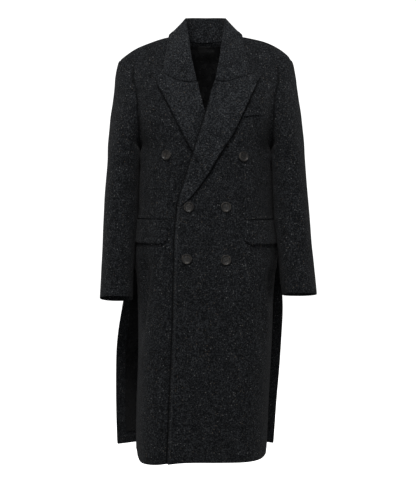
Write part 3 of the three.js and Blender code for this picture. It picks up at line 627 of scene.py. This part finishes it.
def tweed(name, lift=1.0):
    """Charcoal donegal tweed: mixed dark yarns with pale, grey and beige flecks and slubs."""
    n = Nodes(name)
    place = n.node("TexCoord").outputs["Object"]
    sheet = n.node("UVMap", uv_map="weave").outputs["UV"]
    stray = n.noise(place, 700, 1)
    stray_way = n.vector("SUBTRACT", stray.outputs["Color"], (0.5, 0.5, 0.5))
    shift = n.vector("MULTIPLY", stray_way, (STRAY, STRAY, STRAY))
    moved = n.vector("ADD", place, shift)
    moved_sheet = n.vector("ADD", sheet, shift)

    # Yarns: a plain weave with thick and thin places
    parts = n.node("SeparateXYZ")
    n.put(parts.inputs[0], moved_sheet)
    pitch = math.tau / YARN_PITCH
    warp = n.math("SINE", n.math("MULTIPLY", parts.outputs[0], pitch))
    weft = n.math("SINE", n.math("MULTIPLY", parts.outputs[1], pitch))
    weave = n.math("MULTIPLY", warp, weft)

    # Heathered ground: fine grain, mottling a few millimetres across, and wide soft clouds
    grain = n.noise(moved, 900, 3, 0.65)
    mottle = n.noise(moved, 260, 2, 0.6)
    cloud = n.noise(place, 42, 2)
    ground = grain.outputs[0]
    for value, share in ((mottle.outputs[0], 1.85), (cloud.outputs[0], 0.30)):
        ground = n.math("ADD", ground, n.math("MULTIPLY", n.math("SUBTRACT", value, 0.5), share))
    ground = n.math("ADD", ground, n.math("MULTIPLY", weave, 0.04))
    # A lift above 1 paints the ground and the grey flecks paler, as painted light.
    dark = [c * lift for c in (0.0034, 0.0040, 0.0049)]
    middle = [c * lift for c in (0.0122, 0.0136, 0.0158)]
    pale = [c * lift for c in (0.052, 0.056, 0.062)]
    colour = n.ramp(ground, (0.26, dark), (0.52, middle), (0.88, pale))

    # Flecks: fine grey ones, larger pale and beige ones, and slubs along the yarns
    height = n.math("MULTIPLY", weave, 0.35)
    grey = [c * lift for c in (0.118, 0.124, 0.134)]
    small, tone, _ = flecks(n, moved, SMALL_FLECK, 0.30, 0.42)
    small_colour = n.ramp(tone, (0.3, [c * 0.45 for c in grey]), (0.9, grey))
    colour = n.blend(n.math("MULTIPLY", small, 0.75), colour, small_colour)
    large, tone, bright = flecks(n, moved, LARGE_FLECK, 0.12, 0.36)
    large_colour = n.ramp(
        tone,
        (0.50, (0.19, 0.195, 0.20)),
        (0.72, (0.14, 0.125, 0.105)),
        (0.95, (0.12, 0.09, 0.065)),
    )
    large = n.math("MULTIPLY", large, n.math("MULTIPLY_ADD", bright, 0.6))
    colour = n.blend(large, colour, large_colour)
    for stretch, cells in (((0.30, 1.0, 1.0), 0.0046), ((1.0, 0.34, 1.0), 0.0050)):
        drawn = n.vector("MULTIPLY", moved_sheet, stretch)
        slub, tone, _ = flecks(n, drawn, cells * min(stretch), 0.06, 0.36)
        slub_colour = n.ramp(tone, (0.3, (0.15, 0.155, 0.16)), (0.8, (0.12, 0.10, 0.08)))
        colour = n.blend(n.math("MULTIPLY", slub, 0.75), colour, slub_colour)
        height = n.math("ADD", height, n.math("MULTIPLY", slub, 0.5))
    # Painted shade along the seams, darts and edges, and a painted highlight beside the over
    # panel's edge.
    for row in PAINTED_LIGHT_LINES:
        painted_light_share = n.math("MULTIPLY", painted_light_band(n, place, row), row["share"])
        colour = n.blend(painted_light_share, colour, row["tint"])
    n.put(n.shader.inputs["Base Color"], colour)
    height = n.math("ADD", height, n.math("MULTIPLY", grain.outputs[0], 1.3))
    height = n.math("ADD", height, n.math("MULTIPLY", n.math("ADD", small, large), 0.5))
    n.bump(height, 0.0007, 0.7)
    return n.finish(
        Roughness=0.93,
        Sheen_Weight=0.05,
        Sheen_Roughness=0.5,
        Specular_IOR_Level=0.15,
    )


# The pitch of the lining's twill, in metres.
TWILL_PITCH = 0.0009


def satin(name):
    """Smooth black twill lining."""
    n = Nodes(name)
    place = n.node("TexCoord").outputs["Object"]
    sheet = n.node("UVMap", uv_map="weave").outputs["UV"]
    parts = n.node("SeparateXYZ")
    n.put(parts.inputs[0], sheet)
    slant = n.math("ADD", parts.outputs[0], parts.outputs[1])
    rib = n.math("SINE", n.math("MULTIPLY", slant, math.tau / TWILL_PITCH))
    cloud = n.noise(place, 45, 3)
    low, high = (0.0072, 0.0074, 0.0080), (0.0120, 0.0122, 0.0130)
    colour = n.ramp(cloud.outputs[0], (0.3, low), (0.7, high))
    n.put(n.shader.inputs["Base Color"], colour)
    n.put(n.shader.inputs["Roughness"], n.spread(cloud.outputs[0], 0.0, 1.6))
    height = n.math("ADD", n.math("MULTIPLY", rib, 0.4), n.noise(place, 500, 2).outputs[0])
    n.bump(height, 0.0002, 0.5)
    return n.finish(Specular_IOR_Level=0.35, Sheen_Weight=0.05)


def polished_horn(name):
    """Dark horn with brown streaks and a soft polish."""
    n = Nodes(name)
    place = n.node("TexCoord").outputs["Object"]
    drawn = n.vector("MULTIPLY", place, (1.0, 0.3, 0.35))
    streak = n.noise(drawn, 260, 4, 0.6)
    colour = n.ramp(
        streak.outputs[0],
        (0.34, (0.0045, 0.0043, 0.0041)),
        (0.52, (0.0110, 0.0098, 0.0088)),
        (0.70, (0.095, 0.078, 0.062)),
    )
    n.put(n.shader.inputs["Base Color"], colour)
    wear = n.noise(place, 900, 2)
    n.put(n.shader.inputs["Roughness"], n.math("MULTIPLY_ADD", wear.outputs[0], 0.3))
    n.bump(wear.outputs[0], 0.00008, 0.3)
    return n.finish(Specular_IOR_Level=0.55, Coat_Weight=0.35, Coat_Roughness=0.2)


def twisted_thread(name, shade):
    """Sewing thread, slightly uneven."""
    n = Nodes(name)
    place = n.node("TexCoord").outputs["Object"]
    ply = n.noise(n.vector("MULTIPLY", place, (1.0, 1.0, 2.2)), 1800, 2)
    low = [c * 0.55 for c in shade]
    n.put(n.shader.inputs["Base Color"], n.ramp(ply.outputs[0], (0.3, low), (0.7, shade)))
    n.bump(ply.outputs[0], 0.0001, 0.6)
    return n.finish(Roughness=0.7, Sheen_Weight=0.2)


cloth_look = tweed("tweed")
# Lapels and collar face up into the light, so their copy of the tweed is painted a little paler as
# painted light, as in the photograph.
lit_tweed_look = tweed("turned_tweed", 1.36)
lining_look = satin("lining")
horn_look = polished_horn("horn")
thread_look = twisted_thread("thread", (0.016, 0.016, 0.018))

# Each cloth piece of the body: its node, how far its edges are turned in millimetres, and
# whether it is on the front.
BODY_PIECES = table(
    "node edge front",
    ("front_left", 0.9, True),
    ("front_right", 0.9, True),
    ("lapel_left", 0.6, True),
    ("lapel_right", 0.6, True),
    ("flap_left", 0.6, True),
    ("flap_right", 0.6, True),
    ("jet_left", 0.6, True),
    ("jet_right", 0.6, True),
    ("breast_welt", 0.6, True),
    ("collar", 0.6, True),
    ("collar_stand", 0.7, True),
    ("back", 0.9, False),
    ("back_lining", 0.35, False),
)
SLEEVE_EDGE = 0.9
cloth = {}
for piece in BODY_PIECES:
    node = piece["node"]
    mesh = rounded(node, piece["edge"] * MM)
    points, still = sewn(read_points(mesh), node)
    across = girth(points, piece["front"])
    if not node.startswith("collar"):
        write_points(mesh, fold_body(points, piece["front"], node, still))
    weave_map(mesh, across)
    lined = node == "back_lining"
    turned = node.startswith(("lapel", "collar"))
    look = lining_look if lined else lit_tweed_look if turned else cloth_look
    obj = new_object(node + "_cloth", mesh, look)
    cloth[node] = ride_cloth(obj, node)

for side, node in ((1, "sleeve_left"), (-1, "sleeve_right")):
    mesh = rounded(node, SLEEVE_EDGE * MM)
    points, still = sewn(read_points(mesh), node)
    axis = sleeve_axis(points)
    angle = sleeve_turn(points, axis, side)[1]
    write_points(mesh, fold_sleeve(points, axis, side, still))
    weave_map(mesh, np.radians(angle) * SLEEVE_RADIUS, math.tau * SLEEVE_RADIUS)
    cloth[node] = ride_cloth(new_object(node + "_cloth", mesh, cloth_look), node)


# Tubes, stitches and buttons
def tube(points, radius, sides=6):
    """Points and faces of a closed tube along a line."""
    line = [Vector(p) for p in points]
    verts, faces = [], []
    for i, p in enumerate(line):
        way = (line[min(i + 1, len(line) - 1)] - line[max(i - 1, 0)]).normalized()
        if i == 0:
            right = way.orthogonal().normalized()
        else:
            right = (right - way * right.dot(way)).normalized()
        up = way.cross(right)
        thin = 0.45 if i in (0, len(line) - 1) else 1.0
        for k in range(sides):
            turn = math.tau * k / sides
            verts.append(p + (right * math.cos(turn) + up * math.sin(turn)) * radius * thin)
    for i in range(len(line) - 1):
        for k in range(sides):
            j = (k + 1) % sides
            low, high = i * sides, (i + 1) * sides
            faces.append((low + k, low + j, high + j, high + k))
    faces.append(tuple(reversed(range(sides))))
    faces.append(tuple(range(len(verts) - sides, len(verts))))
    return verts, faces


def joined(name, parts, material):
    """One object from several lists of points and faces."""
    verts, faces = [], []
    for points, sides in parts:
        start = len(verts)
        verts += points
        faces += [tuple(i + start for i in side) for side in sides]
    mesh = bpy.data.meshes.new(name)
    mesh.from_pydata([tuple(v) for v in verts], [], faces)
    mesh.validate()
    obj = new_object(name, mesh, material)
    mesh.polygons.foreach_set("use_smooth", np.ones(len(mesh.polygons), bool))
    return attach(obj, "root")


over_panel = surface(cloth["front_left"].data)
FORWARD = Vector((0, 1, 0))
BEFORE_COAT = -0.6


def on_front(x, z):
    """The point and normal of the over panel where it shows from the front at x and z."""
    hit, normal, _, _ = over_panel.ray_cast(Vector((x, BEFORE_COAT, z)), FORWARD)
    return hit, normal


def panel_edge(top=-0.47, above_hem=0.012, below_neck=0.72, step=0.02, reach=0.007):
    """The over panel's free edge from the hem to its top, as x and z."""
    points = read_points(cloth["front_left"].data)
    low, high = points[:, 2].min() + above_hem, points[:, 2].max() - below_neck
    out = []
    for place in np.arange(low, high, step):
        near = points[np.abs(points[:, 2] - place) < reach]
        out.append((near[:, 0].min(), place))
    out = np.array(out)
    for _ in range(3):
        out[1:-1] = (out[:-2] + 2 * out[1:-1] + out[2:]) / 4
    return out[out[:, 1] < top]


def stitch_line(line, inset, gap=0.0045, length=0.0026, radius=0.00028):
    """Small stitches that run along a line on the over panel, a little way in from it."""
    line = line + (inset, 0)
    ways = np.append(0, np.cumsum(np.linalg.norm(np.diff(line, axis=0), axis=1)))
    parts = []
    for start in np.arange(0.004, ways[-1] - 0.006, gap):
        spots = []
        for share, lift in ((0, -0.0003), (0.3, 0.0001), (0.7, 0.0001), (1, -0.0003)):
            way = start + length * share
            hit, normal = on_front(*(np.interp(way, ways, line[:, i]) for i in (0, 1)))
            if hit is None:
                break
            spots.append(hit + normal * lift)
        if len(spots) == 4:
            parts.append(tube(spots, radius, 5))
    return parts


joined("edge_stitching", stitch_line(panel_edge(), 8 * MM), thread_look)


def buttonhole(x, z, length=0.025, pitch=0.0009, radius=0.0004):
    """A worked buttonhole: close stitches on both sides of a slit that runs to the button."""
    parts = []
    for step in np.arange(0, length, pitch):
        for side in (-1, 1):
            spots = []
            for away, lift in ((0.0003, 0.0002), (0.0012, 0.0005), (0.0023, 0.0001)):
                hit, normal = on_front(x - step, z + side * away)
                if hit is not None:
                    spots.append(hit + normal * lift)
            if len(spots) == 3:
                parts.append(tube(spots, radius, 5))
    return parts


worked = []
for node in ("button_middle_right", "button_low_right"):
    spots = read_points(frame["nodes"][node].data)
    centre = (spots.min(0) + spots.max(0)) / 2
    worked += buttonhole(float(centre[0]), float(centre[2]))
joined("buttonholes", worked, thread_look)


# The radius of a button's holes, and where they are.
HOLE = 1.35 * MM
HOLE_PLACE = 2.6 * MM
HOLES = [(x * HOLE_PLACE, y * HOLE_PLACE) for x, y in ((1, 1), (-1, 1), (-1, -1), (1, -1))]


def button_mesh():
    """A four-hole horn button with a rolled rim and a dished middle, lying on the ground plane."""
    profile = table(
        "r h",
        (0.0, 0.0),
        (10.2, 0.0),
        (12.8, 0.8),
        (13.8, 1.9),
        (13.9, 2.8),
        (13.4, 3.6),
        (12.6, 4.0),
        (11.6, 3.9),
        (10.6, 3.0),
        (9.4, 2.3),
        (6.0, 2.0),
        (0.0, 1.9),
    )
    rings, turns = profile[1:-1], 64
    verts = [(0, 0, 0)]
    for ring in rings:
        for k in range(turns):
            a = math.tau * k / turns
            r = ring["r"] * MM
            verts.append((r * math.cos(a), r * math.sin(a), ring["h"] * MM))
    verts.append((0, 0, profile[-1]["h"] * MM))
    at = lambda i, k: 1 + i * turns + k % turns
    top = len(rings) - 1
    faces = [(0, at(0, k + 1), at(0, k)) for k in range(turns)]
    faces += [(at(top, k), at(top, k + 1), len(verts) - 1) for k in range(turns)]
    for i in range(top):
        for k in range(turns):
            faces.append((at(i, k), at(i, k + 1), at(i + 1, k + 1), at(i + 1, k)))
    mesh = bpy.data.meshes.new("button")
    mesh.from_pydata(verts, [], faces)
    disc = new_object("button_disc", mesh, horn_look)
    for i, (x, y) in enumerate(HOLES):
        bm = bmesh.new()
        bmesh.ops.create_cone(
            bm, cap_ends=True, segments=20, radius1=HOLE, radius2=HOLE, depth=0.02
        )
        bmesh.ops.translate(bm, verts=bm.verts, vec=(x, y, 0))
        cutter = bpy.data.meshes.new("hole")
        bm.to_mesh(cutter)
        bm.free()
        drill = new_object("button_drill%d" % i, cutter, horn_look)
        cut = disc.modifiers.new("hole", "BOOLEAN")
        cut.operation, cut.object, cut.solver = "DIFFERENCE", drill, "EXACT"
    graph = bpy.context.evaluated_depsgraph_get()
    made = bpy.data.meshes.new_from_object(disc.evaluated_get(graph))
    for obj in [disc] + [o for o in bpy.data.objects if o.name.startswith("button_drill")]:
        bpy.data.objects.remove(obj)
    return made


button_form = button_mesh()

# A thread's way from hole to hole: the share of the way, and the height in millimetres.
STRAND = ((0, -0.6), (0.08, 2.3), (0.3, 3.0), (0.7, 3.0), (0.92, 2.3), (1, -0.6))
STRAND_RADIUS = 0.24 * MM


def sewn_button(node, turn):
    """A horn button in the place of its CAD solid, sewn on with two pairs of threads."""
    points = np.unique(read_points(frame["nodes"][node].data), axis=0)
    centre = (points.min(0) + points.max(0)) / 2
    _, _, ways = np.linalg.svd(points - points.mean(0))
    out = Vector(ways[2] if ways[2][1] < 0 else -ways[2])
    depth = (points - centre) @ np.array(out)
    seat = Vector(centre) + out * float(depth.min())
    spin = out.to_track_quat("Z", "Y").to_matrix().to_4x4()
    spin = spin @ Matrix.Rotation(turn, 4, "Z")
    spin.translation = seat
    mesh = button_form.copy()
    mesh.transform(spin)
    obj = new_object(node + "_horn", mesh, horn_look)
    mesh.polygons.foreach_set("use_smooth", np.ones(len(mesh.polygons), bool))
    mesh.set_sharp_from_angle(angle=math.radians(40))
    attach(obj, "root")
    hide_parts(node)
    strands = []
    for a, b in ((0, 1), (3, 2)):
        for lane in (-0.45, 0, 0.45):
            (x0, y0), (x1, y1) = HOLES[a], HOLES[b]
            line = [
                (x0 + (x1 - x0) * share, y0 + (y1 - y0) * share + lane * MM, height * MM)
                for share, height in STRAND
            ]
            strands.append(tube([spin @ Vector(p) for p in line], STRAND_RADIUS))
    return strands


# Each button is turned a little further than the one before.
threads = []
for index, node in enumerate(sorted(n for n in frame["nodes"] if n.startswith("button_"))):
    threads += sewn_button(node, 0.35 + 0.5 * index)
joined("button_thread", threads, thread_look)

# Floor, light and camera
stage_look = bpy.data.materials.new("studio_white")
stage_look.use_nodes = True
stage_shader = stage_look.node_tree.nodes["Principled BSDF"]
stage_shader.inputs["Base Color"].default_value = (0.9, 0.9, 0.9, 1)
stage_shader.inputs["Emission Color"].default_value = (1, 1, 1, 1)
stage_shader.inputs["Emission Strength"].default_value = 1.2
FLOOR_HALF, FLOOR_HEIGHT = 8, -1.5
floor_corners = [
    (x * FLOOR_HALF, y * FLOOR_HALF, FLOOR_HEIGHT)
    for x, y in ((-1, -1), (1, -1), (1, 1), (-1, 1))
]
floor_mesh = bpy.data.meshes.new("floor")
floor_mesh.from_pydata(floor_corners, [], [(0, 1, 2, 3)])
floor = new_object("floor", floor_mesh, stage_look)
floor.visible_diffuse = False
floor.visible_glossy = False

world = bpy.data.worlds.new("studio")
bpy.context.scene.world = world
world.use_nodes = True
sky = world.node_tree
shade = sky.nodes["Background"]
path = sky.nodes.new("ShaderNodeLightPath")
# The white backdrop shows to the camera, and lights the coat only a little.
AMBIENT, BACKDROP = 0.14, 1.2
level = sky.nodes.new("ShaderNodeMapRange")
level.inputs["To Min"].default_value = AMBIENT
level.inputs["To Max"].default_value = BACKDROP
sky.links.new(path.outputs["Is Camera Ray"], level.inputs["Value"])
sky.links.new(level.outputs[0], shade.inputs["Strength"])
shade.inputs["Color"].default_value = (1, 1, 1, 1)

LAMPS = table(
    "name x y z aim_z size_x size_y power",
    ("key", -0.4, -2.9, 3.0, -0.4, 2.4, 1.4, 86),
    ("fill", 0.2, -3.8, -0.3, -0.5, 2.0, 2.0, 11),
    ("box_right", -2.6, 0.6, 0.0, -0.5, 0.8, 2.4, 9),
    ("box_left", 2.6, 0.6, 0.0, -0.5, 0.8, 2.4, 9),
    ("behind", 0.0, 3.2, 1.4, -0.4, 2.4, 1.6, 40),
)
for lamp in LAMPS:
    light = bpy.data.lights.new(lamp["name"], "AREA")
    light.shape = "RECTANGLE"
    light.size, light.size_y, light.energy = lamp["size_x"], lamp["size_y"], lamp["power"]
    obj = bpy.data.objects.new(lamp["name"], light)
    obj.location = (lamp["x"], lamp["y"], lamp["z"])
    way = Vector((0, 0, lamp["aim_z"])) - obj.location
    obj.rotation_euler = way.to_track_quat("-Z", "Y").to_euler()
    bpy.context.scene.collection.objects.link(obj)

lens = bpy.data.cameras.new("camera")
lens.sensor_fit = "VERTICAL"
lens.sensor_height = FILM_HEIGHT
lens.lens = LENS
lens.shift_y = (EYE_ROW - PHOTO_HEIGHT / 2) / PHOTO_HEIGHT
camera = bpy.data.objects.new("camera", lens)
camera.location = EYE
camera.rotation_euler = (math.pi / 2, 0, 0)
bpy.context.scene.collection.objects.link(camera)
bpy.context.scene.camera = camera
bpy.context.scene.view_settings.view_transform = "Standard"
